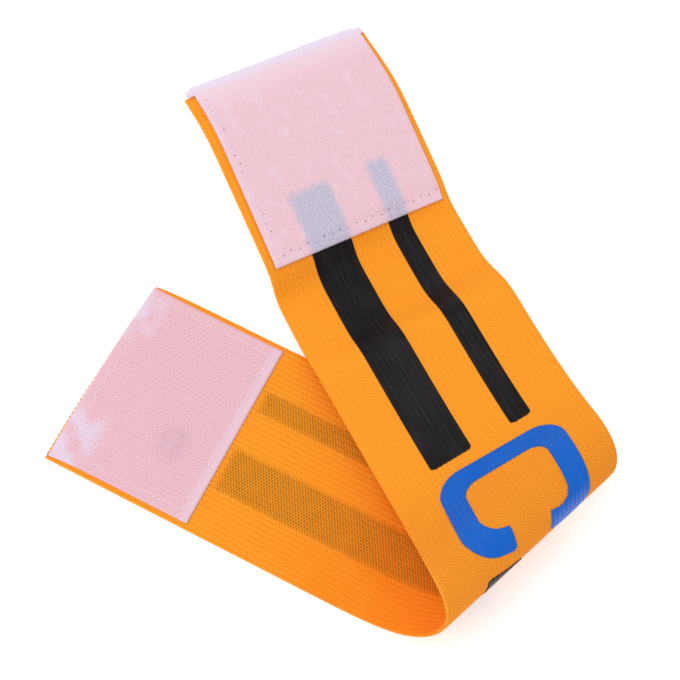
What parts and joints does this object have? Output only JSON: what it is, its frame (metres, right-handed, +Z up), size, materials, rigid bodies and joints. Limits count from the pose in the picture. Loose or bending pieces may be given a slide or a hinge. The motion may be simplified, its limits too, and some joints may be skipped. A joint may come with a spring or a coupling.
{
  "type": "captain armband",
  "caption": "Elastic captain armband with hook-and-loop end patches, printed bars and a captain's letter, lying loosely folded over itself.",
  "frame": {"origin": "on the surface that the armband lies on, under the middle of its bounding box", "axes": "+Z up off the surface, +Y towards the loop patch end, which is the longest side, +X towards the fold"},
  "size_m": [0.1697, 0.1998, 0.035],
  "materials": {
    "webbing": "ribbed warm orange elastic webbing, matt",
    "hook_tape": "pale pink woven hook tape",
    "loop_felt": "pale pink brushed loop felt",
    "black_print": "black film print, slightly satin",
    "blue_print": "blue film print, slightly satin"
  },
  "bodies": {
    "root": {"elastic_band": "webbing", "hook_patch": "hook_tape", "loop_patch": "loop_felt", "hook_side_broad_bar": "black_print", "hook_side_slim_bar": "black_print", "loop_side_broad_bar": "black_print", "loop_side_slim_bar": "black_print", "captain_letter": "blue_print"}
  },
  "joints": []
}
